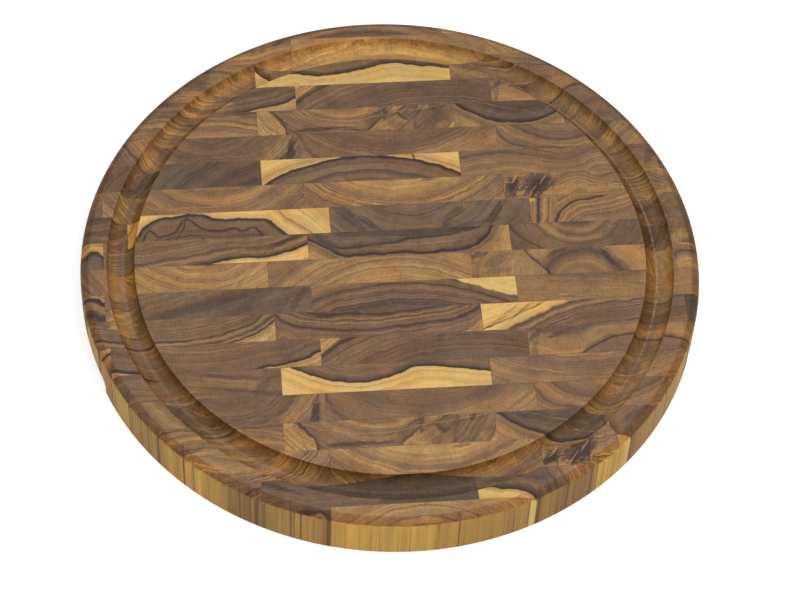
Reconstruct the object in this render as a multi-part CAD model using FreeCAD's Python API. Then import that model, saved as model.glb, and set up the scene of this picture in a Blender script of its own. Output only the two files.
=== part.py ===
import FreeCAD, Part
import math
import os

from FreeCAD import Placement, Rotation, Vector

# Round end-grain cutting board, glued up from staggered hardwood blocks.
# Millimetres, +Z up. The origin is the centre of the underside, and the rows of blocks run along X.

# Outline of the board
BOARD_DIAMETER = 400.0
BOARD_THICKNESS = 35.0
TOP_ROUND = 7.5
BOTTOM_ROUND = 1.5

# Juice groove, run round the board with a round-nosed cutter
GROOVE_MARGIN = 17.0
GROOVE_CUTTER_RADIUS = 9.0
GROOVE_DEPTH = 9.0

# Finger grips, scooped out of the lower edge at both ends of the middle rows
GRIP_LENGTH = 145.0
GRIP_HEIGHT = 12.5
GRIP_DEPTH = 14.0
GRIP_CUTTER_RADIUS = 10.0
GRIP_CORNER_RADIUS = 5.0

# Blocks: each row is a strip of equal blocks, glued end to end and standing on its end grain
ROW_WIDTH = 20.6
BLOCK_LENGTH = 131.5
# Where one joint of each row lies along X, from the back row to the front row
JOINT_PLACES = (
    49.5, -54.0, -79.5, -53.5, -80.5,
    -53.0, -80.0, -53.0, -37.5, -53.0,
    -80.0, -53.0, -77.5, -50.0, -76.0,
    -49.5, -77.0, -49.5, -92.5, -51.5,
)
# A block end shorter than this would be sanded away, so its neighbour runs on to the rim
SHORTEST_END = 4.0

# Stock that the cutting tools reach past the surface that they enter
OVERRUN = 2.0

board_radius = BOARD_DIAMETER / 2
groove_centre = board_radius - GROOVE_MARGIN - GROOVE_CUTTER_RADIUS


def point(radius, height):
    """A point of a section drawn in the XZ plane."""
    return Vector(radius, 0, height)


def line(start, end):
    return Part.LineSegment(point(*start), point(*end)).toShape()


def arc(start, middle, end):
    return Part.Arc(point(*start), point(*middle), point(*end)).toShape()


def on_circle(centre, radius, degrees):
    """A section point on a circle, counted from the +X side towards +Z."""
    turn = math.radians(degrees)
    return centre[0] + radius * math.cos(turn), centre[1] + radius * math.sin(turn)


def corner_arc(centre, radius, first, last):
    """A quarter round between two directions about its centre."""
    middle = (first + last) / 2
    return arc(*(on_circle(centre, radius, turn) for turn in (first, middle, last)))


def section(edges):
    return Part.Face(Part.Wire(edges))


def turned(face, axis_place=Vector(0, 0, 0), degrees=360):
    return face.revolve(axis_place, Vector(0, 0, 1), degrees)


def make_disc():
    """The whole board as one disc, with a rounded top edge and an eased bottom edge."""
    top_centre = (board_radius - TOP_ROUND, BOARD_THICKNESS - TOP_ROUND)
    bottom_centre = (board_radius - BOTTOM_ROUND, BOTTOM_ROUND)
    return turned(section([
        line((0, 0), (bottom_centre[0], 0)),
        corner_arc(bottom_centre, BOTTOM_ROUND, -90, 0),
        line((board_radius, bottom_centre[1]), (board_radius, top_centre[1])),
        corner_arc(top_centre, TOP_ROUND, 0, 90),
        line((top_centre[0], BOARD_THICKNESS), (0, BOARD_THICKNESS)),
        line((0, BOARD_THICKNESS), (0, 0)),
    ]))


def make_groove_tool():
    """The ring of wood that the round-nosed cutter takes out."""
    nose_height = BOARD_THICKNESS - GROOVE_DEPTH + GROOVE_CUTTER_RADIUS
    top = max(BOARD_THICKNESS, nose_height) + OVERRUN
    inner = groove_centre - GROOVE_CUTTER_RADIUS
    outer = groove_centre + GROOVE_CUTTER_RADIUS
    nose_tip = (groove_centre, nose_height - GROOVE_CUTTER_RADIUS)
    return turned(section([
        line((inner, top), (inner, nose_height)),
        arc((inner, nose_height), nose_tip, (outer, nose_height)),
        line((outer, nose_height), (outer, top)),
        line((outer, top), (inner, top)),
    ]))


def grip_section(inner, outer, wall_first):
    """Section of the grip: upright wall, rounded corner and flat ceiling, open below."""
    corner_x = inner + GRIP_CORNER_RADIUS if wall_first else outer - GRIP_CORNER_RADIUS
    corner = (corner_x, GRIP_HEIGHT - GRIP_CORNER_RADIUS)
    if wall_first:
        return section([
            line((inner, -OVERRUN), (inner, corner[1])),
            corner_arc(corner, GRIP_CORNER_RADIUS, 180, 90),
            line((corner_x, GRIP_HEIGHT), (outer, GRIP_HEIGHT)),
            line((outer, GRIP_HEIGHT), (outer, -OVERRUN)),
            line((outer, -OVERRUN), (inner, -OVERRUN)),
        ])
    return section([
        line((inner, -OVERRUN), (inner, GRIP_HEIGHT)),
        line((inner, GRIP_HEIGHT), (corner_x, GRIP_HEIGHT)),
        corner_arc(corner, GRIP_CORNER_RADIUS, 90, 0),
        line((outer, corner[1]), (outer, -OVERRUN)),
        line((outer, -OVERRUN), (inner, -OVERRUN)),
    ])


def make_grip_tools():
    """The path of the grip cutter along the +X edge: an arc with a round end at each side."""
    cutter_track = board_radius - GRIP_DEPTH + GRIP_CUTTER_RADIUS
    grip_end = math.asin(GRIP_LENGTH / 2 / board_radius)
    # The cutter stops where its side meets the end of the grip on the board's wall
    reach = (cutter_track ** 2 + board_radius ** 2 - GRIP_CUTTER_RADIUS ** 2) / (2 * cutter_track * board_radius)
    track_end = math.degrees(grip_end - math.acos(reach))
    inner = board_radius - GRIP_DEPTH
    outer = cutter_track + GRIP_CUTTER_RADIUS
    run = turned(grip_section(inner, outer, True), degrees=2 * track_end)
    run.rotate(Vector(0, 0, 0), Vector(0, 0, 1), -track_end)
    tools = [run]
    for side in (-1, 1):
        plunge = turned(grip_section(0, GRIP_CUTTER_RADIUS, False))
        plunge.translate(Vector(cutter_track, 0, 0))
        plunge.rotate(Vector(0, 0, 0), Vector(0, 0, 1), side * track_end)
        tools.append(plunge)
    return tools


def make_board():
    """The disc with its groove and both grips, before it is told apart into blocks."""
    board = make_disc().cut(make_groove_tool())
    for tool in make_grip_tools():
        board = board.cut(tool)
        tool.rotate(Vector(0, 0, 0), Vector(0, 0, 1), 180)
        board = board.cut(tool)
    return board


def half_chord(nearest, farthest):
    """Half the board's length within a row, at the row's side nearest to the centre."""
    inside = min(abs(nearest), abs(farthest)) if nearest * farthest > 0 else 0
    return math.sqrt(board_radius ** 2 - inside ** 2)


def joint_places(place, reach):
    """Every joint of one row, a block length apart, that lies within the board."""
    first = math.ceil((-reach + SHORTEST_END - place) / BLOCK_LENGTH)
    last = math.floor((reach - SHORTEST_END - place) / BLOCK_LENGTH)
    return [place + step * BLOCK_LENGTH for step in range(first, last + 1)]


def make_row(board, back, front, place):
    """The blocks of one row, each a solid of its own."""
    reach = half_chord(back, front)
    ends = [-board_radius - OVERRUN] + joint_places(place, reach) + [board_radius + OVERRUN]
    blocks = []
    for left, right in zip(ends, ends[1:]):
        blank = Part.makeBox(right - left, back - front, BOARD_THICKNESS + 2 * OVERRUN)
        blank.translate(Vector(left, front, -OVERRUN))
        blocks += board.common(blank).Solids
    return Part.makeCompound(blocks)


def make_rows():
    """Rows from the back of the board to the front, with a joint line through the centre."""
    board = make_board()
    rows_behind = math.ceil(board_radius / ROW_WIDTH)
    rows = []
    for index in range(2 * rows_behind):
        back = (rows_behind - index) * ROW_WIDTH
        front = back - ROW_WIDTH
        place = JOINT_PLACES[index % len(JOINT_PLACES)]
        rows.append(make_row(board, back, front, place))
    return rows


def main():
    os.makedirs("parts", exist_ok=True)
    for number, row in enumerate(make_rows(), start=1):
        row.exportStep("parts/row_%02d.step" % number)
        print("row_%02d" % number, len(row.Solids), "blocks, volume", round(row.Volume))


main()
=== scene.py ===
import math
import random
from collections import namedtuple

import bpy
from mathutils import Matrix, Vector


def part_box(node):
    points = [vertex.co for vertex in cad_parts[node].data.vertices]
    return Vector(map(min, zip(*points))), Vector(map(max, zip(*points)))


# Round end-grain cutting board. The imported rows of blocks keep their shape, and this script gives each
# block its own piece of wood: growth rings, heartwood and sapwood, dark veins, pores, and side grain where
# the cut isn't level. The figure doesn't change along Z, because the blocks stand on their end grain.

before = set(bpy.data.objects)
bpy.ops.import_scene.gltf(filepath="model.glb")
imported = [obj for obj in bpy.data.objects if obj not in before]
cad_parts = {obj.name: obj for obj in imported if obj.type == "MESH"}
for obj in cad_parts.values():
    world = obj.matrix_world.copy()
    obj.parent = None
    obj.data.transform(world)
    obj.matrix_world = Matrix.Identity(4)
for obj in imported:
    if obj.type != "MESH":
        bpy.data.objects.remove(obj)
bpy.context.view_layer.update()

MM = 0.001


# Colours, as they look on a sanded and oiled end, in 8-bit sRGB

TONES = {
    "vein": (66, 52, 48),
    "dark": (90, 74, 64),
    "smoke": (116, 96, 79),
    "umber": (112, 87, 67),
    "brown": (130, 101, 75),
    "olive": (129, 105, 75),
    "tan": (154, 119, 80),
    "gold": (174, 134, 84),
    "dull sap": (184, 146, 92),
    "sap": (208, 167, 98),
    "cream": (226, 190, 116),
    # Side grain on the board's wall
    "wall cream": (208, 180, 118),
    "wall gold": (184, 147, 80),
    "wall tan": (166, 130, 72),
    "wall olive": (154, 120, 72),
    "wall brown": (132, 99, 60),
    "wall line": (80, 58, 38),
}
# Tints of the wood: warmer places, cuts that slant across the fibres, and the walls of the groove, with
# painted light on the groove's walls that face the right front and painted shade on its steep walls
WARM_TINT = (1.07, 0.98, 0.86, 1.0)
SLANT_TINT = (0.74, 0.59, 0.36, 1.0)
INNER_WALL_TINT = (1.00, 0.84, 0.46, 1.0)
OUTER_WALL_TINT = (0.95, 0.88, 0.62, 1.0)
LIT_WALL_TINT = (1.34, 1.48, 1.80, 1.0)
STEEP_PAINTED_SHADE_TINT = (0.80, 0.76, 0.68, 1.0)
# How upright side grain differs from end grain, where its tones are guessed and where they are known
SIDE_GAIN = (1.13, 1.10, 0.44)
SIDE_GLOW = (0.090, 0.050, 0.010)
WALL_GAIN = (1.14, 1.04, 0.62)


def linear(tone):
    """An sRGB tone as the linear colour that a shader takes."""
    def channel(value):
        value /= 255
        return value / 12.92 if value <= 0.04045 else ((value + 0.055) / 1.055) ** 2.4
    return tuple(channel(value) for value in tone) + (1.0,)


COLOURS = {name: linear(tone) for name, tone in TONES.items()}


# What a block is described by
# Places are in millimetres: s from the block's left joint, v from its front edge

Rings = namedtuple("Rings", "kind points")
Block = namedtuple("Block", "rings tones spacing contrast marks")
Vein = namedtuple("Vein", "points width smoke tone strength")
Patch = namedtuple("Patch", "points side tone fade")
Spot = namedtuple("Spot", "place size turn tone strength ragged")
Shards = namedtuple("Shards", "start end size")
Wall = namedtuple("Wall", "tones lines")


def pith(s, v):
    """Growth rings about a centre. Tones count outwards from it."""
    return Rings("pith", ((s, v),))


def line(*points):
    """Growth rings along a line. Tones count from it towards the back of the board."""
    return Rings("line", points)


def tones_at(text, family=""):
    """Places and tones, from a text such as "-8 brown, 3 dull sap"."""
    pairs = (part.split(" ", 1) for part in text.split(", "))
    return tuple((float(place), family + tone) for place, tone in pairs)


def block(rings, tones, spacing=3.2, contrast=0.6, *marks):
    """A block of wood: its rings, their tones, spacing and contrast, and the marks on it in order."""
    return Block(rings, tones_at(tones), spacing, contrast, marks)


def vein(*points, width=0.7, smoke=0.0, tone="vein", strength=0.85):
    """A line of another tone, with smoke over some millimetres behind it, or before it if negative."""
    return Vein(points, width, smoke, tone, strength)


def patch(*points, side=1, tone="sap", fade=0.5):
    """A tone behind a line (side 1) or in front of it (side -1)."""
    return Patch(points, side, tone, fade)


def spot(s, v, length, width, tone="vein", strength=0.7, turn=0, ragged=1.1):
    """A ragged patch, longest in the direction that it is turned to, in degrees from s."""
    return Spot((s, v), (length, width), turn, tone, strength, ragged)


def shards(start, end, size):
    """Broken figure between two places along the block: angular shards of many tones."""
    return Shards(start, end, size)


def wall(tones, *lines):
    """A block's side grain at the board's wall: tones along s, and dark lines by s and half width."""
    return Wall(tones_at(tones, "wall "), lines)


# The rows, from the back one to the front one, and their blocks from left to right.
# Rows 3 and 15, 4 and 14, 5 and 17, 6 and 16, and 8 and 18 are slices of the same strips.


def wave_strip(wave, *marks):
    """Dark heartwood behind a wavy line of bright sapwood."""
    return [
        block(line((0, 5), (60, 12), (100, 8), (131, 3)), "-8 brown, -2 umber, 3 olive, 8 brown, 13 brown", 4,
              0.5, *marks, spot(98, 16, 20, 1.6, "dark", 0.6, -10), spot(60, 9, 24, 4, "tan", 0.5)),
        block(line(*wave),
              "-13 cream, -9 sap, -6 cream, -3.4 sap, -3 dull sap, -2.6 cream, -0.2 sap, 0.1 vein, 0.8 vein, "
              "2 dark, 5 brown, 13 brown", 2.6, 0.6),
        block(pith(64, 125), "98 brown, 106 tan, 112 brown, 120 brown, 128 tan, 140 brown", 3, 0.9,
              vein((2, 18), (28, 10), (60, 6.5), (100, 8), width=0.35, tone="gold", strength=0.5),
              vein((2, 12), (28, 5.5), (60, 2.5), (100, 4), width=0.3, tone="gold", strength=0.4)),
    ]


def corner_strip(*marks):
    """Brown blocks with a pale corner at their joint, and a gold one under smoke to the right."""
    bay = ((26, -6), (36, 1), (48, 8.5), (58, 12.5), (72, 13.5), (90, 9))
    return [
        block(line((0, 3), (60, -4), (99.5, 1), (116, 4.5), (131.5, 10)),
              "-7 gold, -3 dull sap, -0.6 gold, 0 vein, 1.2 vein, 2.4 umber, 5 brown, 6.5 umber, 9 brown, "
              "13 umber, 18 brown", 2.8, 0.85, *marks),
        block(pith(92, -125), "120 smoke, 134 umber, 142 umber, 152 brown, 170 brown", 2.6, 0.9,
              vein((-6, 1), (0, 6.5), (10, 14), (21, 20.5), (30, 27), width=2, smoke=-5, strength=0.8),
              patch((-4, 4), (0, 9), (8, 16), (14, 21), (20, 28), tone="dull sap", fade=0.8),
              vein((-2, 14), (4, 20), (8, 25), width=0.4, tone="brown"),
              spot(77, 17.5, 6, 2, "dark", 0.6, 60, 1.5)),
        block(line((0, 2), (30, -3), (60, 6), (90, 4)), "-9 tan, -2 tan, 4 gold, 9 tan, 14 tan, 20 umber",
              3.6, 0.3,
              patch(*bay, side=-1, tone="brown", fade=2), vein(*bay, width=1.2, smoke=4),
              spot(14, 19.5, 17, 3.4, "umber", 0.9, -6, 1.5), spot(5, 15, 7, 2, "dark", 0.8, 40, 1.5),
              spot(22, 17, 9, 1.6, "dark", 0.8, 25, 1.5), spot(3, 3, 10, 1.6, "umber", 0.6, 80, 1.4)),
    ]


bowl_strip = [
    block(line((0, 2), (20, 6), (55, 12), (90, 12), (131, 6)),
          "-12 gold, -7 tan, -3 brown, 0 gold, 3 brown, 6 tan, 9 brown", 2.4, 0.8,
          vein((40, 14), (62, 18.5), (100, 18), (131, 19), width=0.6, smoke=2.5, strength=0.7),
          spot(48, 15, 10, 3, "dark", 0.6, 20, 1.4), spot(66, 4, 26, 3, "umber", 0.5, 8)),
    block(pith(60, 52), "25 umber, 33 brown, 36 tan, 38 gold, 41 brown, 46 tan, 52 brown", 2.6, 0.8,
          shards(72, 126, 12.5),
          vein((22, 16), (40, 11.5), (60, 10), (80, 13), width=0.4, tone="dull sap", strength=0.5),
          spot(40, 3.2, 17, 1.6, "vein", 0.7, 2, 1.5), spot(62, 2.8, 10, 1.4, "dark", 0.7, -6, 1.5),
          patch((8.5, 20.6), (14, 14), (18.5, 8), (20.5, -2), side=-1, tone="gold"),
          vein((4, 24), (9, 16), (12, 8), (14, -2), width=0.4, tone="brown", strength=0.6),
          vein((8.5, 20.6), (14, 14), (18.5, 8), (20.5, -2), width=1.3, smoke=2.5),
          patch((125.5, -4), (128.5, 1), (131.5, 7), side=-1, tone="dull sap")),
    block(line((1, 20.6), (11, 13), (24, 5), (39, 2), (54, 3), (67, 8), (74, 15)),
          "-14 tan, -8 gold, -4 brown, -0.6 tan, 0 vein, 1 vein, 2.4 dark, 5 smoke, 9 dark, 14 dark, "
          "20 umber", 3.2, 0.5, patch((66, 30), (70, 14), (76, -2), tone="brown", fade=2.5),
          vein((66, 30), (70, 14), (76, -2), width=1, smoke=5, strength=0.7),
          spot(88, 14, 9, 3, "dark", 0.6, 30, 1.4), spot(101, 7, 10, 3, "dark", 0.5, -20, 1.4),
          vein((24, 18.5), (41, 13.5), (59, 8.5), width=0.35, tone="dull sap", strength=0.4)),
]


curl_strip = [
    block(pith(73, 44),
          "20 brown, 28 umber, 36 brown, 43 umber, 49 brown, 53 tan, 57 tan, 62 brown, 90 olive", 3, 0.85,
          spot(125, 6, 12, 3.2, "vein", 0.8, 78), spot(129, 13, 9, 2, "tan", 0.5, 80),
          vein((30, 12), (60, 4), (90, 4), (110, 10), width=0.35, tone="gold", strength=0.45)),
    block(pith(62, 88), "64 brown, 72 brown, 80 umber, 88 brown, 98 brown, 108 brown", 3, 0.55,
          patch((50, -6), (90, 6), (131, 17), side=-1, tone="tan", fade=9),
          vein((0, 19), (4, 9), (10, -1), width=1.4, smoke=4, tone="dark", strength=0.7),
          spot(20, 3, 12, 3, "olive", 0.5, -30)),
    block(pith(45, 58), "38 tan, 44 brown, 50 umber, 56 tan, 63 brown, 72 tan, 100 brown", 3, 0.7,
          vein((1, 15), (8, 6), (17, 2), (51, -1), width=1.2, smoke=3, tone="dark", strength=0.7),
          vein((84, 18), (92, 11), (110, 7), width=0.6, smoke=2, tone="dark", strength=0.6)),
]


def nest_strip(*marks):
    """Golden blocks of nested bowls, with a broken knot to the right."""
    return [
        block(pith(75, 62), "40 tan, 46 brown, 50 tan, 54 gold, 58 brown, 66 tan, 74 brown, 90 tan", 2.8, 0.8,
              vein((20, 8), (50, 4), (80, 5), (110, 10), width=0.4, tone="gold", strength=0.6)),
        block(pith(64, 84),
              "60 tan, 65 gold, 69 dull sap, 73 gold, 78 tan, 81 brown, 84 gold, 90 tan, 94 brown, 104 tan",
              2.8, 0.8, spot(82, 19, 6, 1.6, "umber", 0.7, 10)),
        block(line((0, 12), (34, 9), (50, 14), (62, 10), (80, 12), (110, 6)),
              "-12 tan, -4 gold, 2 tan, 6 brown, 12 gold", 2.8, 0.75,
              spot(6, 9, 9, 5.5, "dark", 0.95, 75, 1.3), spot(6, 11, 6, 3, "vein", 0.75, 60, 1.3),
              spot(22, 11, 13, 9, "dark", 0.95, 50, 1.2), spot(23, 10, 9, 5, "vein", 0.8, 50, 1.4),
              spot(8, 17, 6, 0.9, "gold", 0.9, 55), spot(18, 5, 7, 0.7, "tan", 0.8, 60),
              spot(26, 15, 6, 0.7, "tan", 0.8, 62), *marks),
    ]


sap_edge = (
    patch((46.5, 30), (48.5, 10), (50, -4)),
    vein((52, 30), (53.6, 10), (54.4, -4), width=0.4, tone="tan"),
    patch((57.5, 30), (59, 10), (60, -4), tone="brown"),
    vein((57, 30), (58.6, 10), (59.6, -4), width=1.1, smoke=2),
)


ROWS = [
    # 1
    [block(pith(75, -90), "82 umber, 88 brown, 90 umber, 92.6 brown, 94 dark, 95.4 umber, 97 tan, 102 brown",
           3, 0.8),
     block(line((0, 8), (14, 6), (30, 2)), "-4 dull sap, -1 gold, 0 dark, 4 brown", 3, 0.7)],
    # 2
    [block(line((60, 4), (100, 7), (131, 16)), "-12 gold, -4 tan, 0 gold, 4 brown, 9 tan", 3.4, 0.7,
           spot(123, 18.5, 6, 1.8, "dark", 0.85, 30), spot(112, 13, 5, 2, "umber", 0.6, 60)),
     block(pith(62, -100),
           "95 tan, 100.5 tan, 103.4 gold, 104 brown, 105.5 gold, 109 dull sap, 112 sap, 116 dull sap, "
           "122 gold, 128 gold", 4.2, 0.45,
           patch((50, 21), (70, 17), (84, 14.5), (110, 8.5), (131, 2), tone="tan", fade=4),
           vein((-8, 20), (4, 9), (14, 3), (26, -2), width=0.3, tone="brown"),
           vein((100, 24), (112, 12), (126, 2), width=0.3, tone="brown")),
     block(line((-10, 30), (10, 14), (26, -2)), "-18 gold, -9 tan, 0 gold, 8 tan, 20 gold", 2.8, 1.1)],
    # 3
    wave_strip(((0, 20), (7.5, 14), (15.5, 9), (25.5, 11), (34.5, 8.5), (44.5, 7.5), (59.5, 9), (79.5, 14),
                (91.5, 16.3), (104.5, 14.7), (114.5, 12.5), (131.5, 10.7)),
               spot(116, 8, 18, 12, "gold", 0.6, 0, 0.8)),
    # 4
    corner_strip(spot(70, 10, 20, 10, "gold", 0.45, -15, 0.9)),
    # 5
    bowl_strip,
    # 6
    curl_strip,
    # 7
    [block(pith(170, -100),
           "100 smoke, 112 dark, 118 umber, 124 dark, 130 umber, 136 dark, 146 smoke, 158 dark, 170 umber",
           3.2, 0.75, spot(95, 13, 24, 4, "dark", 0.5, 35), spot(60, 8, 18, 3, "olive", 0.5, 30)),
     block(pith(68, -98),
           "96 umber, 103 brown, 106 dark, 108 olive, 112 brown, 114 umber, 116.3 umber, 117.6 vein, "
           "119 vein, 119.6 sap, 122 dull sap, 124 sap, 128 cream", 2.6, 0.7,
           spot(101.5, 18.5, 3, 0.8, "vein", 0.8, -75, 0.5), spot(26, 3, 16, 3, "olive", 0.7, 15)),
     block(line((0, 9), (30, 12), (70, 5), (90, 12), (110, 13), (131, 8)),
           "-12 brown, -6 tan, -4 brown, 0 tan, 4 brown, 6 umber, 10 brown", 2.6, 0.8,
           spot(112, 12, 14, 9, "umber", 0.6), spot(127, 12, 8, 3, "dark", 0.7, 75, 1.4),
           spot(108, 4, 10, 2, "umber", 0.6, -30, 1.4)),
     block(line((0, 9), (20, 11)), "-1 brown, 1 brown")],
    # 8
    [block(line((100, 6), (131, 14)), "-1 brown, 1 brown")] + nest_strip(spot(93, 10, 18, 10, "umber", 0.65)),
    # 9
    [block(line((90, 12), (110, 8), (131, 14)), "-8 umber, -3 brown, 0 dark, 4 brown, 8 dark", 3.4, 1),
     block(line((0, -8), (5, 1), (8, 8), (11, 12), (19, 16), (29, 19), (44, 20.3), (54, 17), (61, 15),
                (71, 15.5), (81, 14.5), (87, 14.5), (94, 10), (99, 5), (105, -1), (120, -17)),
           "-14 umber, -8 brown, -5 brown, -3 smoke, -2 dark, -1.2 vein, 0 vein, 0.5 sap, 5 cream, 9 sap, "
           "10 tan, 11 sap, 18 cream, 26 sap", 3, 0.75,
           vein((8, -2), (11, 2), (14, 9), (21, 3), (34, 11), (39, 16), (44, 12), (59, 5), (69, 7), (74, 4),
                (81, 7), (86, 2), (90, -6), width=1.1, smoke=-2.5),
           vein((30, -4), (36, 8), (39, 18), smoke=2),
           vein((92, 24), (104, 12), (118, -2), width=0.45, tone="brown", strength=0.7),
           vein((108, 24), (120, 12), (131, 0), width=0.4, tone="brown", strength=0.6)),
     block(pith(54, 50), "28 brown, 40 smoke, 48 olive, 54 smoke, 60 smoke, 68 olive, 80 smoke, 95 smoke",
           3.4, 0.6, spot(12, 13, 15, 3.4, "dark", 0.75, -50, 1.6),
           spot(24, 7, 11, 2.4, "vein", 0.5, -40, 1.6), spot(80, 9, 12, 3, "vein", 0.5, 48, 1.6),
           spot(109, 12, 12, 3.4, "vein", 0.65, 62, 1.6), spot(97, 3, 16, 2, "dark", 0.7, 8),
           spot(48, 9, 17, 8, "umber", 0.35)),
     block(line((14, -12), (16, 0), (19, 8), (26, 14), (36, 18), (50, 20.5), (66, 25), (90, 36)),
           "-30 brown, -20 tan, -15 brown, -12 tan, -10.4 umber, -9.6 tan, -6 brown, -4.8 gold, -3 brown, "
           "-1 tan, 0 vein, 1 dark, 2.4 tan, 4.4 gold, 5.8 umber, 6.8 tan, 9 gold, 10.6 brown, 11.8 vein, "
           "12.8 dark, 14 tan, 22 tan", 2.8, 0.6, spot(1.5, 19.5, 2.5, 1.2, "sap", 0.9),
           spot(80, 11, 13, 8, "dark", 0.85, -50, 1.4), spot(60, 4, 26, 3, "brown", 0.5),
           spot(96, 12, 9, 7, "umber", 0.7))],
    # 10
    [block(line((110, 18), (118, 12), (126, 15), (131, 11)),
           "-8 smoke, -4 dark, -1 vein, 0.2 gold, 2.5 sap, 3.5 gold, 6 sap, 7 vein", 2.6, 0.8),
     block(line((30, -6), (66.5, 0), (74.5, 2.5), (89.5, 3), (104.5, 4), (119.5, 7), (131.5, 11.5)),
           "-9 sap, -3 cream, -0.3 dull sap, 0 vein, 1.2 vein, 2.6 umber, 6 tan, 8 umber, 12 brown, "
           "15 olive, 18 brown", 2.8, 1, spot(118, 16, 16, 1.6, "vein", 0.7, 25, 1.5),
           spot(96, 10, 22, 1.2, "dark", 0.6, 8, 1.5)),
     block(line((0, 16), (13, 7), (25, 1.5), (73, 1), (98, 2.5), (113, 9), (121, 19), (126, 30)),
           "-14 dull sap, -8 gold, -3 olive, -0.6 brown, 0 vein, 1.4 vein, 3 umber, 7 smoke, 12 smoke, "
           "16 dark", 3, 0.65,
           vein((4, 22), (14, 11), (28, 8.5), (53, 10.5), (73, 14.5), (85, 14), (104, 19), width=1.8,
                smoke=5),
           spot(10, 15, 13, 4, "dark", 0.7, -45), spot(88, 9, 18, 4, "olive", 0.6, 20),
           spot(66, 7, 20, 2.6, "brown", 0.6, 5)),
     block(pith(46, 34),
           "14 dark, 17 umber, 21 tan, 24 umber, 28 tan, 31 umber, 36 brown, 42 umber, 48 umber, 54 umber, "
           "62 brown, 80 umber", 2.8, 0.6,
           vein((0, 22), (5, 13), (13.5, 4), (23, -2), width=1.3, smoke=3, strength=0.75),
           spot(84, 9, 24, 12, "umber", 0.8), spot(96, 13, 10, 7, "dark", 0.7),
           spot(112, 6, 8, 4, "gold", 0.7, 40), spot(28, 15, 9, 3, "gold", 0.6, -40))],
    # 11
    [block(pith(91, 60), "38 tan, 44 gold, 48 gold, 52 tan, 56 gold, 60 tan, 64 gold, 74 tan, 90 brown", 2.9,
           0.75, spot(94, 20, 4, 1.6, "umber", 0.8), spot(112, 6, 12, 0.8, "dull sap", 0.8, 55),
           spot(120, 9, 12, 0.8, "dull sap", 0.7, 55)),
     block(pith(80, -70),
           "64 tan, 76 gold, 82 tan, 84 dull sap, 85.4 tan, 92 tan, 98 gold, 104 brown, 116 tan", 3, 0.65,
           vein((52, 24), (57, 10), (60, -3), width=0.4, tone="brown", strength=0.6)),
     block(pith(71, -8),
           "0 gold, 10 tan, 14 brown, 17 tan, 22 brown, 24 umber, 26.4 dark, 28 umber, 30 brown, 33 tan, "
           "42 gold, 50 tan, 60 tan, 72 gold, 90 brown", 2.8, 0.35,
           patch((30, 40), (38, 16), (43.5, 8), (50, 0), (56, -10), side=-1, tone="tan", fade=1),
           spot(16, 13, 10, 4, "umber", 0.5, 30), spot(28, 9, 12, 4, "gold", 0.6, 50),
           spot(12, 4, 16, 2.5, "brown", 0.7, 12), spot(4, 18, 7, 2.6, "dark", 0.8, 20, 1.5),
           vein((34, 24), (38, 16), (43.5, 8), (49, 2), width=1, smoke=3, strength=0.8),
           spot(56, 18, 9, 1.6, "vein", 0.5, 25, 1.3), spot(88, 12, 8, 2, "vein", 0.75, -60, 1.5)),
     block(line((0, 8), (8, 14), (20, 11)), "-8 gold, -3 tan, 0 dark, 2 brown, 6 tan", 2.8, 0.9)],
    # 12
    [block(line((110, 12), (118, 15), (131, 10)),
           "-12 brown, -8 vein, -5 dark, -2 tan, 1 brown, 2.6 vein, 4.4 vein, 6 tan", 3.2, 0.8),
     block(line((20, -4), (131, 30)), "-22 smoke, -12 umber, -6 smoke, -2 dark, 4 umber, 9 olive, 18 brown",
           3.6, 0.6, spot(11, 5, 9, 8, "gold", 0.8), spot(40, 15, 16, 4, "olive", 0.7, 25),
           spot(124, 12, 14, 2.4, "dark", 0.8, 60, 1.4), spot(96, 12, 14, 4, "dark", 0.55, 35, 1.4),
           spot(112, 6, 10, 3, "dark", 0.5, 50, 1.4)),
     block(pith(55, -128),
           "122 umber, 128 smoke, 133 dark, 134 umber, 135.4 dark, 136.2 brown, 138.8 brown, 139.8 dark, "
           "140.8 umber, 143 brown, 145.8 umber, 147 dark, 148 umber, 150 brown, 151.2 umber, 152 dark, "
           "153 umber, 153.8 gold, 154.8 sap, 156 cream, 164 sap", 2.2, 0.8,
           patch((-2, 11), (12, 16.5), (30, 21), (50, 28), tone="tan", fade=1.5),
           patch((90, 24), (96, 19), (106, 14.5), (117, 10), (125, 7), (131, 5), tone="cream", fade=1.6)),
     block(line((0, 14), (60, 9), (110, 16)), "-10 tan, -4 tan, 0 tan, 9 brown", 3, 0.4,
           spot(33, 3, 14, 0.9, "umber", 0.6, 8, 1.6), spot(74, 12, 14, 1, "umber", 0.4, -14, 1.6),
           spot(30, 15, 12, 4, "smoke", 0.3, 60, 1.5), spot(50, 15, 26, 4, "brown", 0.35),
           vein((40, 16), (70, 13), (100, 9), width=0.35, tone="gold", strength=0.5))],
    # 13
    [block(line((0, 2), (60, -6), (92, -3), (111, 2), (131.5, 15)),
           "-14 gold, -6 dull sap, -0.4 gold, 0 vein, 1.2 dark, 2.2 tan, 3.8 dark, 5.4 brown, 7 tan, "
           "8.4 dark, 10 brown, 13 umber, 16 brown", 2.6, 1, spot(14, 5, 5, 9, "dark", 0.8),
           spot(26, 17, 12, 1.6, "dark", 0.6, -30), spot(35, 17, 8, 5, "gold", 0.75)),
     block(line((0, 20), (5.5, 14), (27.5, 7), (57.5, 5), (87.5, 7), (117.5, 12), (129.5, 18)),
           "-9 brown, -6 brown, -4 umber, -2.4 brown, -1 umber, 0 vein, 1.4 umber, 3 brown, 4.6 umber, "
           "5.2 gold, 5.8 brown, 7.6 dark, 8.6 tan, 10.2 umber, 12 vein, 13.2 umber", 2.4, 0.9,
           patch((112, -6), (122, 1), (131, 9), side=-1, tone="gold", fade=1),
           spot(38, 17.5, 15, 1.4, "vein", 0.7, 3)),
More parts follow.
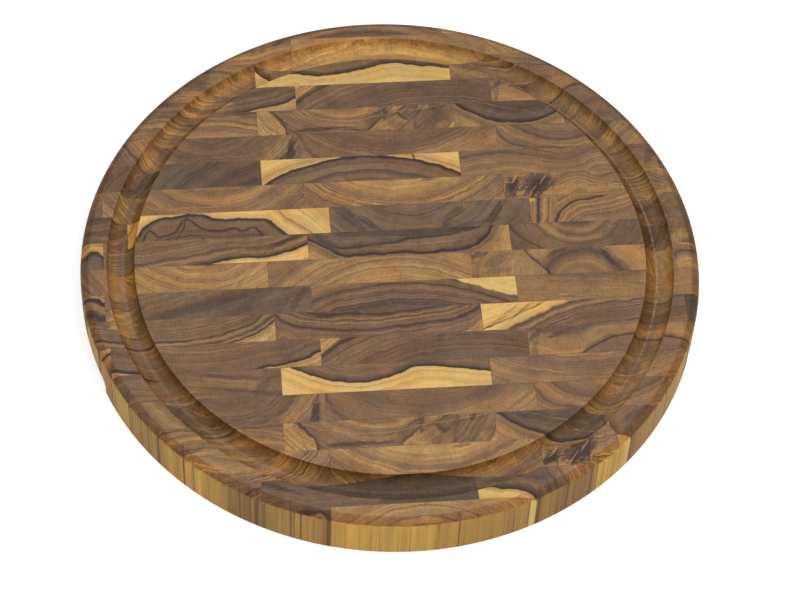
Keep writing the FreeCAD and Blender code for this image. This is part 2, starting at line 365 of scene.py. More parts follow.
     block(line((-14, -14), (0, -7), (14, 0), (31, 8), (51, 17), (62, 21), (80, 23), (131, 27)),
           "-24 brown, -16 umber, -9 brown, -6 umber, -4 tan, -2 umber, -0.8 dark, 0.6 dull sap, 2 sap, "
           "5 cream, 7 dull sap, 8 sap, 14 cream", 2.8, 1.1, spot(12, 9, 14, 1.4, "tan", 0.6, 40, 1.6),
           spot(26, 14, 12, 1, "brown", 0.5, 40, 1.6)),
     block(line((0, 8), (20, 14)), "-6 umber, 3 dark", 3, 0.6)],
    # 14
    [block(line((110, 14), (120, 13), (131, 16)),
           "-10 umber, -5 tan, -1 gold, 0 vein, 1.2 vein, 2 gold, 8 dull sap", 3, 0.9)] + corner_strip(),
    # 15
    wave_strip(((0, 25), (6, 20.6), (16, 15), (26, 10.8), (36, 7.8), (48, 6.7), (61, 8.3), (76, 13.3),
                (86, 16.3), (94, 16.7), (104, 15), (116, 12.8), (132, 11.2)),
               spot(104, 11, 22, 4, "tan", 0.45, -10, 1.5), spot(118, 6, 9, 3, "dark", 0.6, 50, 1.6)),
    # 16
    curl_strip,
    # 17
    bowl_strip,
    # 18
    nest_strip(*sap_edge),
    # 19
    [block(line((90, 2), (131, 14)), "-8 tan, -2 brown, 3 umber, 9 brown", 3.2, 0.9),
     block(line((0, 4), (131, 8)), "-8 umber, -2 smoke, 3 umber, 8 dark", 3.2, 0.45,
           spot(112, 8, 44, 14, "dark", 0.85), spot(24, 10, 30, 8, "brown", 0.6, -6),
           spot(10, 16, 14, 1.6, "vein", 0.6, -24)),
     block(line((-10, 11), (0, 9), (16, 7), (29, 4), (36, 0), (44, -12)),
           "-16 cream, -7 sap, -4 cream, -0.4 dull sap, 0 vein, 1.3 vein, 3 dark, 6 brown, 9 dark, 14 umber, "
           "22 brown, 30 tan", 3, 0.8)],
    # 20
    [block(line((100, 34), (108, 24), (112, 19.4), (116, 18.4), (124, 17.8), (128, 15.5), (130, 11),
                (131.5, 3)), "-8 gold, -1.2 tan, 0 vein, 1.2 dark, 3 brown, 12 umber", 3, 0.6),
     block(line((0, -8), (17, 1), (34, 7.3), (46, 10.6), (56, 11.4), (66, 10.6), (78, 7.3), (95, 1),
                (112, -8)),
           "-8 brown, -3 tan, -0.5 gold, 0 umber, 0.8 tan, 4 tan, 6.5 gold, 7 umber, 7.8 gold, 12 tan, "
           "20 gold", 3.8, 0.5, patch((117, 40), (121, 15), (124, -4)),
           patch((128, 40), (129, 15), (130, -4), tone="brown"),
           vein((126, 40), (128, 15), (130, -4), width=1.2))],
]

# Side grain at the front of the board's wall, by row and block
WALLS = {
    (13, 1): wall("0 gold, 30 gold"),
    (14, 1): wall("122 tan, 131 tan", (124, 0.8)),
    (15, 1): wall("25 tan, 28 gold, 35 gold, 36.5 tan", (25.3, 0.7), (36.2, 0.9)),
    (16, 1): wall("9 olive, 12 tan, 15 olive, 18 tan, 22 olive, 25 tan", (16.5, 0.4), (20.5, 0.4)),
    (17, 1): wall("51 olive, 54 olive, 58 tan, 62 gold, 64 tan, 68 gold, 71 olive", (54.2, 0.9), (69.3, 0.9)),
    (18, 1): wall("42 tan, 50 gold, 55 tan, 63 tan, 68 olive", (47.5, 0.4)),
    (19, 1): wall("110 brown, 131 brown", (118, 0.5), (124, 0.4), (128.5, 0.4)),
    (19, 2): wall("0 brown, 4 olive, 17 olive", (16.8, 0.8)),
    (20, 1): wall("108 olive, 112 tan, 120 tan, 131 brown", (109.3, 0.6), (113.3, 0.8), (129.7, 1.4)),
    (20, 2): wall("0 gold, 50 gold, 70 tan, 86 tan, 110 olive, 122 olive, 123.2 cream, 127 cream", (78, 0.6),
                  (121.8, 0.5)),
    (19, 3): wall("36 brown, 45 olive, 52 brown, 72 brown", (37.6, 1.8), (56.5, 0.6), (72.3, 0.9)),
    (18, 3): wall("31 olive, 34 gold, 50 gold, 56 cream", (33.3, 0.5), (56.6, 0.9)),
    (17, 3): wall("84 brown, 90 olive, 100 tan, 103 olive", (84.2, 0.9), (101.8, 0.4)),
    (16, 3): wall("75 olive, 82 tan, 89 tan", (83, 0.5)),
    (15, 3): wall("115 tan, 127 gold"),
}


# Node trees, built by arithmetic on their sockets

class Value:
    """What a socket gives, with the usual arithmetic as Math nodes."""

    def __init__(self, graph, socket):
        self.graph = graph
        self.socket = socket

    def __add__(self, other):
        return self.graph.math("ADD", self, other)

    def __sub__(self, other):
        return self.graph.math("SUBTRACT", self, other)

    def __rsub__(self, other):
        return self.graph.math("SUBTRACT", other, self)

    def __mul__(self, other):
        return self.graph.math("MULTIPLY", self, other)

    def __truediv__(self, other):
        return self.graph.math("DIVIDE", self, other)

    def __abs__(self):
        return self.graph.math("ABSOLUTE", self)

    def smooth(self, low, high):
        """Rises from 0 at low to 1 at high, or falls where low is the larger."""
        inputs = {"Value": self, "From Min": low, "From Max": high}
        return self.graph.first(self.graph.node("MapRange", inputs, interpolation_type="SMOOTHSTEP"))


class Graph:
    """A shader tree that is built from numbers, colours and the values of its own sockets."""

    def __init__(self, tree):
        self.tree = tree

    def feed(self, socket, value):
        if isinstance(value, Value):
            self.tree.links.new(value.socket, socket)
        else:
            socket.default_value = value

    def node(self, kind, inputs=None, **settings):
        made = self.tree.nodes.new("ShaderNode" + kind)
        for name, value in settings.items():
            setattr(made, name, value)
        for key, value in (inputs or {}).items():
            self.feed(made.inputs[key], value)
        return made

    def outputs(self, made):
        """The values of a node by their names."""
        return {socket.name: Value(self, socket) for socket in made.outputs}

    def first(self, made):
        return Value(self, made.outputs[0])

    def math(self, operation, *values):
        return self.first(self.node("Math", dict(enumerate(values)), operation=operation))

    def vector(self, operation, *values, scale=None):
        inputs = dict(enumerate(values))
        if scale is not None:
            inputs["Scale"] = scale
        made = self.node("VectorMath", inputs, operation=operation)
        return self.outputs(made)["Value" if operation in ("LENGTH", "DOT_PRODUCT") else "Vector"]

    def join(self, x, y, z=0.0):
        return self.first(self.node("CombineXYZ", {0: x, 1: y, 2: z}))

    def split(self, vector):
        return [Value(self, socket) for socket in self.node("SeparateXYZ", {0: vector}).outputs]

    def mix(self, factor, first, second, blend="MIX"):
        made = self.node("Mix", {0: factor, 6: first, 7: second}, data_type="RGBA", blend_type=blend)
        return Value(self, made.outputs[2])

    def noise(self, place, scale, detail=2.0, roughness=0.5, dimensions="2D", output="Fac"):
        """Noise about one half, from a vector, or from a single value with dimensions 1D."""
        inputs = {"W" if dimensions == "1D" else "Vector": place,
                  "Scale": scale, "Detail": detail, "Roughness": roughness}
        made = self.node("TexNoise", inputs, noise_dimensions=dimensions)
        return Value(self, made.outputs[output])

    def waver(self, gain, *noise, **settings):
        """Noise about zero, as strong as its gain."""
        return (self.noise(*noise, **settings) - 0.5) * gain

    def chance(self, value):
        """A random value for each whole number."""
        return self.first(self.node("TexWhiteNoise", {"W": value}, noise_dimensions="1D"))

    def group(self, tree, values):
        return self.outputs(self.node("Group", values, node_tree=tree))


# Sockets of the shared groups that aren't plain numbers
SOCKET_KINDS = {"Color": "Color", "Tone": "Color", "Wall": "Color", "Place": "Vector", "Figure": "Vector",
                "Centre": "Vector", "Length axis": "Vector", "Width axis": "Vector"}


def shared_group(name, inputs, outputs, build):
    """A node group that every block's material uses."""
    tree = bpy.data.node_groups.new(name, "ShaderNodeTree")
    for way, labels in (("INPUT", inputs), ("OUTPUT", outputs)):
        for label in labels.split(", "):
            kind = "NodeSocket" + SOCKET_KINDS.get(label, "Float")
            tree.interface.new_socket(label, in_out=way, socket_type=kind)
    graph = Graph(tree)
    made = build(graph, graph.outputs(tree.nodes.new("NodeGroupInput")))
    drain = tree.nodes.new("NodeGroupOutput").inputs
    for label, value in zip(outputs.split(", "), made):
        graph.feed(drain[label], value)
    return tree


# How far the figure's lines wander, and over what length, in millimetres
WANDERS = ((2.0, 16.0), (0.4, 4.0))


def build_wander(graph, source):
    place = source["Place"]
    moved = place
    for reach, size in WANDERS:
        push = graph.noise(place, 1 / size, 2.0, output="Color")
        push = graph.vector("SUBTRACT", push, (0.5, 0.5, 0.5))
        moved = graph.vector("ADD", moved, graph.vector("SCALE", push, scale=2 * reach))
    return [moved]


HAZE_STRENGTH = 0.65


def build_vein(graph, source):
    """Draws a dark line whose width and strength vary along it, with smoke on one side."""
    distance, smoke = source["Distance"], source["Smoke"]
    swell = graph.noise(source["Place"], 0.12, 3.0)
    half = source["Width"] * (swell + 0.1)
    core = abs(distance).smooth(half * 1.8, half * 0.5)
    beyond = distance * graph.math("SIGN", smoke)
    reach = abs(smoke) * (swell + 0.4)
    haze = beyond.smooth(reach + 0.01, 0.0) * beyond.smooth(-0.2, 0.2)
    haze = haze * abs(graph.math("SIGN", smoke)) * HAZE_STRENGTH
    cover = graph.math("MAXIMUM", core, haze) * source["Strength"]
    return [graph.mix(cover, source["Color"], source["Tone"])]


FRAY = 1.5
FRAY_LENGTHWAYS = 1.6
SPOT_GRAIN = 0.7


def build_spot(graph, source):
    """Draws a ragged patch of another tone, frayed along its length."""
    offset = graph.vector("SUBTRACT", source["Figure"], source["Centre"])
    length = graph.vector("DOT_PRODUCT", offset, source["Length axis"])
    width = graph.vector("DOT_PRODUCT", offset, source["Width axis"])
    reach = graph.vector("LENGTH", graph.join(length, width))
    fray = graph.join(length * FRAY_LENGTHWAYS, width * source["Slits"], source["Seed"])
    frayed = graph.waver(FRAY, fray, 1.0, 4.0, 0.65, dimensions="3D")
    grain = graph.waver(SPOT_GRAIN, source["Place"], 0.5, 3.0, 0.6)
    cover = (reach + (frayed + grain) * source["Ragged"]).smooth(1.2, 0.7)
    return [graph.mix(cover * source["Strength"], source["Color"], source["Tone"])]


SHARD_TONES = ((0.0, "umber"), (0.25, "brown"), (0.45, "tan"), (0.7, "gold"), (1.0, "dull sap"))
SHARD_SLANT = 0.35
SHARD_STRETCH = 0.8
SHARD_FADE = 3.0
SHARD_STRENGTH = 0.85


def build_shards(graph, source):
    """Draws angular shards of many tones, with dark lines between some of them."""
    s, v, _ = graph.split(source["Figure"])
    start, end, size = source["Start"], source["End"], source["Size"]
    cells = graph.join((s - v * SHARD_SLANT) / size, v * SHARD_STRETCH / size)
    cells = graph.vector("ADD", cells, (3.4, 1.7, 0.0))
    inputs = {"Vector": cells, "Scale": 1.0}
    shard = graph.node("TexVoronoi", inputs, voronoi_dimensions="2D")
    edges = graph.node("TexVoronoi", inputs, voronoi_dimensions="2D", feature="DISTANCE_TO_EDGE")
    pick = graph.split(graph.outputs(shard)["Color"])
    tone = tone_ramp(graph, SHARD_TONES, pick[0])
    # Each shard darkens from one of its edges to the other
    shade = graph.noise(cells, 1.3, 2.0).smooth(0.35, 0.65)
    body = graph.mix(shade * 0.6, tone, COLOURS["umber"])
    smoke = graph.outputs(edges)["Distance"].smooth(0.16, 0.0)
    smoke = smoke * graph.noise(cells, 0.9, 2.0).smooth(0.42, 0.6)
    body = graph.mix(smoke * 0.9, body, COLOURS["vein"])
    cover = (s.smooth(start - SHARD_FADE, start + SHARD_FADE)
             * s.smooth(end + SHARD_FADE, end - SHARD_FADE))
    return [graph.mix(cover * SHARD_STRENGTH, source["Color"], body)]


# How much each part of the figure lightens or darkens the wood
LATE_WOOD, EVERY_LATE_WOOD = 0.50, 0.08
EARLY_WOOD, EVERY_EARLY_WOOD = 0.34, 0.03
RING_GLOW = 0.10
DASHES, RAYS = 0.60, 0.50
CLOUDS, BLOTCHES, FINE_GRAIN = 0.50, 0.42, 0.75
DARKEST = -0.7


def build_light(graph, source):
    """How much lighter or darker than its tone the wood is: rings, bands, dashes, rays, clouds, grain."""
    place, rings, along = source["Place"], source["Rings"], source["Along"]
    seed, contrast = source["Seed"], source["Contrast"]
    # Growth rings: each has its own pale early line and dark late line
    drift = graph.noise(rings * 0.09 + seed, 1.0, 2.0, dimensions="1D")
    wobble = graph.waver(0.5, place, 0.5, 2.0)
    count = (rings + wobble) / source["Spacing"] + drift * 3.0
    ring = graph.math("FLOOR", count) + seed
    within = graph.math("FRACT", count)
    strength = graph.math("POWER", graph.chance(ring), 1.7)
    late = within.smooth(0.30, 0.98) * (strength * LATE_WOOD + EVERY_LATE_WOOD)
    early = abs(within - 0.09).smooth(0.10, 0.02)
    early = early * (graph.chance(ring + 51.0) * EARLY_WOOD + EVERY_EARLY_WOOD)
    fade = contrast * (graph.noise(place, 0.05, 2.0).smooth(0.3, 0.7) + 0.35)
    light = (early + late * -1.0 + RING_GLOW) * fade
    # Bands and dashes run along the rings, and rays run square to them
    bands = graph.waver(1.0, graph.join(along * 0.010, rings * 0.42 + seed), 1.0, 5.0, 0.7)
    light = light + bands * (contrast * 0.9 + 0.25)
    light = light + graph.waver(DASHES, graph.join(along * 0.15, rings * 1.6 + seed), 1.0, 3.0, 0.6)
    light = light + graph.waver(RAYS, graph.join(along * 1.3 + seed, rings * 0.10), 1.0, 3.0, 0.6)
    light = light + graph.waver(CLOUDS, place, 0.05, 3.0)
    light = light + graph.waver(BLOTCHES, place, 0.19, 4.0, 0.6)
    light = light + graph.waver(FINE_GRAIN, place, 1.2, 3.0, 0.8)
    return [graph.math("MAXIMUM", light, DARKEST), early * fade]


# The groove's radii, a height below it, and half widths of its painted highlight line and of glue lines, in
# millimetres
GROOVE_OUTER_RADIUS = 184.0
GROOVE_BOTTOM_RADIUS = 172.9
MID_HEIGHT = 18.0
GROOVE_HIGHLIGHT_HALF_WIDTH = 0.9
GLUE_LINE = 0.22
# How much painted light or shade the groove's walls get beyond the slanted cuts of the rim: painted shade on
# the inner wall, painted light on the outer wall and more where it faces the right front
INNER_WALL_PAINTED_SHADE = -0.20
OUTER_WALL_PAINTED_LIGHT = 0.38
FACING_WALL_PAINTED_LIGHT = 0.20
# Strength of the pores, the glue lines and the groove's painted highlight line, and of what makes a slanted
# cut lighter or darker
PORE_STRENGTH = 0.28
GLUE_STRENGTH = 0.45
GROOVE_HIGHLIGHT_STRENGTH = 0.38
CUT_GRAIN, CUT_BLOTCHES = 0.35, 0.5
CUT_FIGURE, CUT_EARLY_WOOD, CUT_LIGHT = 0.35, 1.3, 0.99
# Upright side grain: fine fibres, broad streaks and dark hairs, each by how dense it is across and along Z,
# and how strong they and the end grain's figure are there
FIBRES, STREAKS, HAIRS = (1100.0, 22.0), (200.0, 5.0), (420.0, 9.0)
FIBRE_LIGHT, STREAK_LIGHT, HAIR_LIGHT, SIDE_LIGHT = 0.65, 0.80, -0.30, 1.03
SIDE_FIGURE = 0.45


def build_wood(graph, source):
    """The figure's tone with its light and dark parts, pores, glue lines, the tone of slanted cuts, and
    painted light and shade in the groove.
    """
    place, light, wall_lines = source["Place"], source["Light"], source["Wall lines"]
    cells = graph.node("TexVoronoi", {"Vector": place, "Scale": 0.8}, voronoi_dimensions="2D")
    cells = graph.outputs(cells)
    open_pore = (cells["Distance"].smooth(0.30, 0.14)
                 * graph.split(cells["Color"])[0].smooth(0.45, 0.65))
    light = light - open_pore * PORE_STRENGTH
    # Pale sapwood is much more even than the heartwood
    pale = graph.split(source["Color"])[0].smooth(COLOURS["gold"][0], COLOURS["sap"][0])
    light = light * (1.0 - pale * 0.55)
    gain = graph.vector("ADD", graph.vector("SCALE", (1.0, 1.03, 0.95), scale=light), (1.0, 1.0, 1.0))
    colour = graph.vector("MULTIPLY", source["Color"], gain)
    side_gain = graph.vector("ADD", graph.vector("SCALE", gain, scale=SIDE_FIGURE), (1 - SIDE_FIGURE,) * 3)
    side = graph.vector("MULTIPLY", source["Color"], side_gain)
    warm = graph.noise(graph.vector("ADD", place, (70, 20, 0)), 0.04, 2.0).smooth(0.35, 0.7)
    colour = graph.mix(warm, colour, WARM_TINT, "MULTIPLY")
    glue = source["Edge"].smooth(GLUE_LINE, 0.4 * GLUE_LINE)
    colour = graph.mix(glue * GLUE_STRENGTH, colour, COLOURS["vein"])
    # Slanted and upright cuts
    coordinates = graph.outputs(graph.node("TexCoord"))
    level = abs(graph.split(coordinates["Normal"])[2])
    slanted = level.smooth(0.995, 0.93)
    upright = level.smooth(0.50, 0.32)
    x, y, z = graph.split(coordinates["Object"])
    radius = graph.vector("LENGTH", graph.join(x, y)) / MM
    outside = graph.math("GREATER_THAN", radius, GROOVE_OUTER_RADIUS)
    # Painted shade and light in the groove: the inner wall is painted darker and the outer wall lighter
    in_groove = (1.0 - outside) * graph.math("GREATER_THAN", z, MID_HEIGHT * MM)
    outer_wall = radius.smooth(GROOVE_BOTTOM_RADIUS - 0.6, GROOVE_BOTTOM_RADIUS + 2.0)
    # Both get painted light where they face the right front: the outer wall at the back left, the inner wall
    # at the front right
    facing = x - y
    outer_painted_light = facing.smooth(-0.10, -0.24) * outer_wall * FACING_WALL_PAINTED_LIGHT
    groove_painted_shading = outer_wall * OUTER_WALL_PAINTED_LIGHT + outer_painted_light + INNER_WALL_PAINTED_SHADE
    groove_painted_shading = in_groove * groove_painted_shading + 1.0
    lit = facing.smooth(0.200, 0.235) * (1.0 - outer_wall * 0.5)
    # Painted shade on the steep parts of the groove's walls, under its edges
    steep_shade = level.smooth(0.80, 0.25)
    groove_tint_and_painted_light = graph.mix(outer_wall, INNER_WALL_TINT, OUTER_WALL_TINT)
    groove_tint_and_painted_light = graph.mix(lit, groove_tint_and_painted_light, LIT_WALL_TINT, "MULTIPLY")
    groove_tint_and_painted_light = graph.mix(steep_shade, groove_tint_and_painted_light, STEEP_PAINTED_SHADE_TINT, "MULTIPLY")
    tint = graph.mix(in_groove, SLANT_TINT, groove_tint_and_painted_light)
    # A cutter leaves a slanted cut rougher and blotchier than the sanded top
    cut_grain = graph.waver(CUT_GRAIN, graph.vector("ADD", place, (31, 7, 0)), 1.5, 4.0, 0.75)
    cut_blotches = graph.waver(CUT_BLOTCHES, graph.vector("ADD", place, (11, 57, 0)), 0.16, 3.0, 0.6)
    cut_light = (cut_grain + cut_blotches + light * CUT_FIGURE + source["Early wood"] * CUT_EARLY_WOOD
                 + CUT_LIGHT)
    across = graph.vector("SCALE", graph.vector("MULTIPLY", colour, tint), scale=groove_painted_shading * cut_light)
    fibres, streaks, hairs = (graph.join(x * flat, y * flat, z * tall)
                              for flat, tall in (FIBRES, STREAKS, HAIRS))
    hair_lines = graph.noise(hairs, 1.0, 2.0, 0.5, "3D").smooth(0.58, 0.70)
    fibre_light = (graph.waver(FIBRE_LIGHT, fibres, 1.0, 3.0, 0.65, "3D")
                   + graph.waver(STREAK_LIGHT, streaks, 1.0, 3.0, 0.6, "3D")
                   + hair_lines * HAIR_LIGHT + SIDE_LIGHT)
    side = graph.vector("ADD", graph.vector("MULTIPLY", side, SIDE_GAIN), SIDE_GLOW)
    known = graph.vector("MULTIPLY", graph.vector("MULTIPLY", source["Wall"], side_gain), WALL_GAIN)
    side = graph.vector("SCALE", graph.mix(source["Wall known"], side, known), scale=fibre_light)
    side = graph.mix(wall_lines * 0.85, side, COLOURS["wall line"])
    across = graph.mix(wall_lines * outside * 0.6, across, COLOURS["vein"])
    colour = graph.mix(slanted, colour, across)
    colour = graph.mix(upright * outside, colour, side)
    # A painted highlight along the groove's bottom crease, stronger toward the right back of the board
    crease_highlight = abs(radius - GROOVE_BOTTOM_RADIUS).smooth(GROOVE_HIGHLIGHT_HALF_WIDTH, 0.3 * GROOVE_HIGHLIGHT_HALF_WIDTH)
    crease_highlight = crease_highlight * in_groove * graph.noise(place, 0.35, 4.0, 0.7).smooth(0.36, 0.62)
    highlight_side_strength = (x + y * 0.8).smooth(0.02, 0.14) * 0.65 + 0.25
    colour = graph.mix(crease_highlight * highlight_side_strength * GROOVE_HIGHLIGHT_STRENGTH, colour, COLOURS["cream"])
    return [colour, graph.waver(0.16, place, 0.6, 2.0) + 0.50, light * 0.5 - open_pore]


# Half the length over which a line's slope is measured, in millimetres
SLOPE_STEP = 0.8


def line_distance(graph, points, figure):
    """How far a point lies behind a line, measured square to it."""
    s, v, _ = graph.split(figure)
    heights = []
    for side in (-SLOPE_STEP, SLOPE_STEP):
        curve = graph.node("FloatCurve", {"Value": (s + side) / block_length})
        curve.mapping.use_clip = False
        curve.mapping.extend = "EXTRAPOLATED"
        knots = curve.mapping.curves[0].points
        while len(knots) < len(points):
            knots.new(0.5, 0.5)
        for knot, (ps, pv) in zip(knots, points):
            knot.location = (ps / block_length, pv / row_width)
            knot.handle_type = "AUTO_CLAMPED"
        curve.mapping.update()
        heights.append(graph.first(curve) * row_width)
    before, after = heights
    slope = (after - before) / (2 * SLOPE_STEP)
    return (v - (before + after) * 0.5) / graph.math("SQRT", slope * slope + 1.0)


def ring_places(graph, described, figure):
    """How far a point lies across the growth rings, and along them."""
    s_here, v_here, _ = graph.split(figure)
    if described.rings.kind == "line":
        return line_distance(graph, described.rings.points, figure), s_here
    (s, v), = described.rings.points
    offset = graph.vector("SUBTRACT", graph.join(s_here, v_here), (s, v, 0.0))
    ds, dv, _ = graph.split(offset)
    # The angle is counted from the far side of the centre, so that it doesn't jump within the block
    turn = graph.math("ARCTAN2", ds, dv if v < 0 else dv * -1.0)
    usual_radius = (described.tones[0][0] + described.tones[-1][0]) / 2
    return graph.vector("LENGTH", offset), turn * usual_radius


def tone_ramp(graph, tones, value):
    """A colour ramp whose stops have named tones at places between 0 and 1."""
    ramp = graph.node("ValToRGB", {0: value})
    marks = ramp.color_ramp.elements
    while len(marks) < len(tones):
        marks.new(0.5)
    for mark, (place, tone) in zip(marks, tones):
        mark.position = place
        mark.color = COLOURS[tone]
    return graph.first(ramp)


def tone_across(graph, tones, distance):
    """The tone of the wood by its distance across the rings, or along the wall."""
    low, high = tones[0][0], tones[-1][0]
    placed = [((place - low) / (high - low), tone) for place, tone in tones]
    return tone_ramp(graph, placed, (distance - low) / (high - low))


wander = shared_group("wander", "Place", "Place", build_wander)
mark_groups = {
    Vein: shared_group("vein", "Color, Place, Distance, Width, Smoke, Tone, Strength", "Color", build_vein),
    Spot: shared_group("spot", "Color, Place, Figure, Centre, Length axis, Width axis, Slits, Seed, Ragged, "
                       "Tone, Strength", "Color", build_spot),
    Shards: shared_group("shards", "Color, Figure, Start, End, Size", "Color", build_shards),
}
light_group = shared_group("light", "Place, Rings, Along, Spacing, Contrast, Seed",
                           "Light, Early wood", build_light)
wood_group = shared_group("wood", "Color, Place, Light, Edge, Early wood, Wall, Wall known, Wall lines",
                          "Color, Roughness, Height", build_wood)


def draw_mark(graph, mark, colour, place, figure, chance):
    """The colour with one mark of the block drawn over it."""
    if isinstance(mark, Patch):
        distance = line_distance(graph, mark.points, figure)
        cover = distance.smooth(-mark.side * mark.fade / 2, mark.side * mark.fade / 2)
        return graph.mix(cover, colour, COLOURS[mark.tone])
    values = {"Color": colour}
    if isinstance(mark, Shards):
        values.update({"Figure": figure, "Start": mark.start, "End": mark.end, "Size": mark.size})
    else:
        values.update({"Place": place, "Tone": COLOURS[mark.tone], "Strength": mark.strength})
    if isinstance(mark, Vein):
        values.update({"Distance": line_distance(graph, mark.points, figure), "Width": mark.width,
                       "Smoke": mark.smoke})
    if isinstance(mark, Spot):
        cos, sin = math.cos(math.radians(mark.turn)), math.sin(math.radians(mark.turn))
        length, width = mark.size
        values.update({"Figure": figure, "Centre": mark.place + (0.0,), "Ragged": mark.ragged,
                       "Length axis": (cos / length, sin / length, 0.0),
                       "Width axis": (-sin / width, cos / width, 0.0),
                       "Slits": max(FRAY_LENGTHWAYS, 0.5 * width), "Seed": chance.uniform(0, 90)})
    return graph.group(mark_groups[type(mark)], values)["Color"]


def wall_grain(graph, described, s):
    """The tone of a block's upright side along s, and where its dark lines are."""
    dark = 0.0
    for place, width in described.lines:
        dark = graph.math("MAXIMUM", dark, abs(s - place).smooth(1.2 * width, 0.0))
    return {"Wall": tone_across(graph, described.tones, s), "Wall known": 1.0, "Wall lines": dark}


def new_material(name):
    """A material with an empty node tree, and the graph that fills it."""
    material = bpy.data.materials.new(name)
    material.use_nodes = True
    material.node_tree.nodes.clear()
    return material, Graph(material.node_tree)


# How far away the noise of a block may be taken, in millimetres, and how many series of rings there are
NOISE_REACH = 900
RING_KINDS = 400
# Relief in millimetres, how much of it shows, and the shine of oiled wood
BUMP_HEIGHT = 0.12
BUMP_STRENGTH = 0.35
SPECULAR_LEVEL = 0.35


def block_material(name, described, walled, left, front, seed):
    """The material of one block, whose left joint and front edge lie at these places in millimetres."""
    material, graph = new_material(name)
    chance = random.Random(seed)
    x, y, _ = graph.split(graph.outputs(graph.node("TexCoord"))["Object"])
    s = x / MM - left
    v = y / MM - front
    shift = (chance.uniform(-NOISE_REACH, NOISE_REACH), chance.uniform(-NOISE_REACH, NOISE_REACH), 0.0)
    place = graph.vector("ADD", graph.join(s, v), shift)
    figure = graph.vector("SUBTRACT", graph.group(wander, {"Place": place})["Place"], shift)
    rings, along = ring_places(graph, described, figure)
    colour = tone_across(graph, described.tones, rings)
    for mark in described.marks:
        colour = draw_mark(graph, mark, colour, place, figure, chance)
    edge_s = graph.math("MINIMUM", abs(s), abs(s - block_length))
    edge_v = graph.math("MINIMUM", abs(v), abs(v - row_width))
    light = graph.group(light_group, {"Place": place, "Rings": rings, "Along": along,
                                      "Spacing": described.spacing, "Contrast": described.contrast,
                                      "Seed": float(chance.randrange(RING_KINDS))})
    values = {"Color": colour, "Place": place, "Light": light["Light"], "Early wood": light["Early wood"],
              "Edge": graph.math("MINIMUM", edge_s, edge_v)}
    if walled:
        values.update(wall_grain(graph, walled, s))
    wood = graph.group(wood_group, values)
    bump = graph.node("Bump", {"Height": wood["Height"], "Strength": BUMP_STRENGTH,
                               "Distance": BUMP_HEIGHT * MM})
    shader = graph.node("BsdfPrincipled", {"Base Color": wood["Color"], "Roughness": wood["Roughness"],
                                           "Normal": graph.first(bump),
                                           "Specular IOR Level": SPECULAR_LEVEL})
    graph.node("OutputMaterial", {0: graph.first(shader)})
    return material


def joints_of(row):
    """Where the blocks of a row meet, from the upright faces that they share, in millimetres."""
    shared = {}
    for face in row.data.polygons:
        corners = [row.data.vertices[corner].co.x for corner in face.vertices]
        if max(corners) - min(corners) < 0.001 * MM:
            place = round(corners[0] / MM, 2)
            shared[place] = shared.get(place, 0) + face.area
    low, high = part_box(row.name)
    block_end = (high.y - low.y) * (high.z - low.z)
    return sorted(place for place, area in shared.items() if area > 0.5 * block_end)


row_names = sorted(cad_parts)
lowest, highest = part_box(row_names[len(row_names) // 2])
row_width = (highest.y - lowest.y) / MM
middle_joints = joints_of(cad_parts[row_names[len(row_names) // 2]])
block_length = middle_joints[1] - middle_joints[0]


def dress_row(number, row, blocks):
    """Gives each block of a row its own material."""
    joints = joints_of(row)
    front = (len(row_names) / 2 - number) * row_width
    row.data.materials.clear()
    for index, described in enumerate(blocks):
        left = joints[index - 1] if index else joints[0] - block_length
        walled = WALLS.get((number, index + 1))
        name = f"{row.name}_block_{index + 1}"
        material = block_material(name, described, walled, left, front, 100 * number + index)
        row.data.materials.append(material)
    for face in row.data.polygons:
        inside = (face.center.x - 0.1 * MM * face.normal.x) / MM
        face.material_index = sum(inside > joint for joint in joints)


for number, name in enumerate(row_names, start=1):
    dress_row(number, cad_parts[name], ROWS[number - 1])


# Camera, as the photograph's perspective gives it: millimetres, degrees and metres

FOCAL_LENGTH = 125.84
SENSOR_WIDTH = 36
CAMERA_PITCH = 54.93
CAMERA_ROLL = 3.263
BOARD_TURN = 7.348
CAMERA_DISTANCE = 1.83284
CAMERA_RIGHT = 0.00695
CAMERA_UP = -0.00847


def place_camera():
    pitch = math.radians(CAMERA_PITCH)
    back = Vector((0, -math.cos(pitch), math.sin(pitch)))
    level_right = Vector((1, 0, 0))
    level_up = back.cross(level_right)
    roll = math.radians(CAMERA_ROLL)
    right = math.cos(roll) * level_right + math.sin(roll) * level_up
    up = math.cos(roll) * level_up - math.sin(roll) * level_right
    place = Matrix.Translation(CAMERA_DISTANCE * back + CAMERA_RIGHT * right + CAMERA_UP * up)
    seen = Matrix((right, up, back)).transposed().to_4x4()
    camera = bpy.data.objects.new("camera", bpy.data.cameras.new("camera"))
    camera.data.lens = FOCAL_LENGTH
    camera.data.sensor_width = SENSOR_WIDTH
    camera.matrix_world = Matrix.Rotation(-math.radians(BOARD_TURN), 4, "Z") @ place @ seen
    bpy.context.scene.collection.objects.link(camera)
    bpy.context.scene.camera = camera


# Studio: a white floor, even light from all round, and a near lamp and two large fill lamps

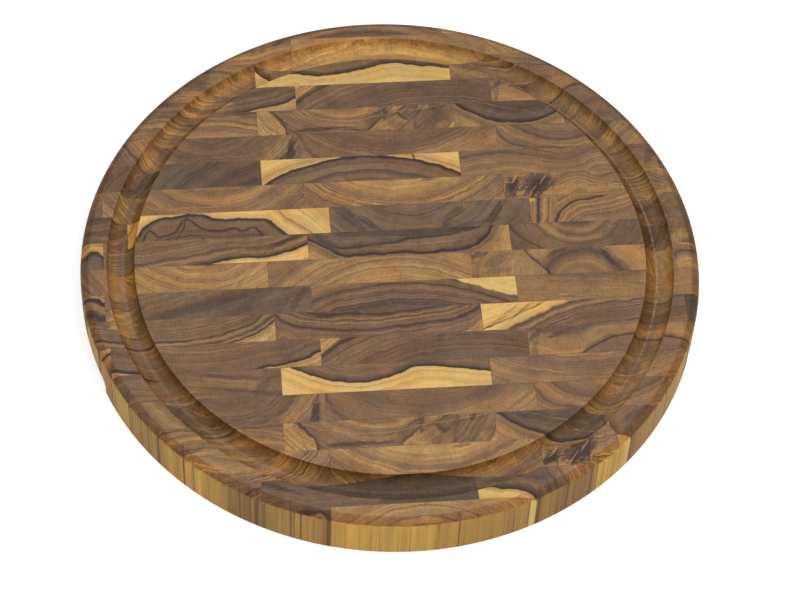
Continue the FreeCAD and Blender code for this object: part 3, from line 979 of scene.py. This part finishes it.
AMBIENT = 0.46
FLOOR_SIZE = 12.0
FLOOR_COLOUR = (0.80, 0.80, 0.80, 1)
FLOOR_GLOW = 0.58
LAMPS = (
    # place, size in metres, power in watts
    ((0.25, -0.30, 1.05), 0.5, 3.2),
    ((0.35, -1.65, 0.90), 1.2, 7.8),
    ((-1.20, 0.10, 1.40), 1.6, 6.0),
)


def white_when_seen(graph, plain, white):
    """White for the camera, and the plain shader for the light on the object."""
    seen = graph.outputs(graph.node("LightPath"))["Is Camera Ray"]
    return graph.first(graph.node("MixShader", {0: seen, 1: graph.first(plain), 2: graph.first(white)}))


def make_world():
    world = bpy.data.worlds.new("studio")
    bpy.context.scene.world = world
    world.use_nodes = True
    world.node_tree.nodes.clear()
    graph = Graph(world.node_tree)
    plain, white = (graph.node("Background", {"Color": (1, 1, 1, 1), "Strength": strength})
                    for strength in (AMBIENT, 1.0))
    graph.node("OutputWorld", {0: white_when_seen(graph, plain, white)})


def make_floor():
    mesh = bpy.data.meshes.new("floor")
    half = FLOOR_SIZE / 2
    corners = [(-half, -half, 0), (half, -half, 0), (half, half, 0), (-half, half, 0)]
    mesh.from_pydata(corners, [], [(0, 1, 2, 3)])
    floor = bpy.data.objects.new("floor", mesh)
    bpy.context.scene.collection.objects.link(floor)
    material, graph = new_material("floor")
    plain = graph.node("BsdfDiffuse", {"Color": FLOOR_COLOUR})
    glow = graph.node("Emission", {"Strength": FLOOR_GLOW})
    lit = graph.node("AddShader", {0: graph.first(plain), 1: graph.first(glow)})
    graph.node("OutputMaterial", {0: white_when_seen(graph, plain, lit)})
    mesh.materials.append(material)


def make_lamps():
    for number, (place, size, power) in enumerate(LAMPS, start=1):
        lamp = bpy.data.lights.new(f"lamp_{number}", "AREA")
        lamp.size = size
        lamp.energy = power
        holder = bpy.data.objects.new(f"lamp_{number}", lamp)
        holder.location = place
        holder.rotation_euler = Vector(place).to_track_quat("Z", "Y").to_euler()
        bpy.context.scene.collection.objects.link(holder)


place_camera()
make_world()
make_floor()
make_lamps()
bpy.context.scene.view_settings.view_transform = "Standard"
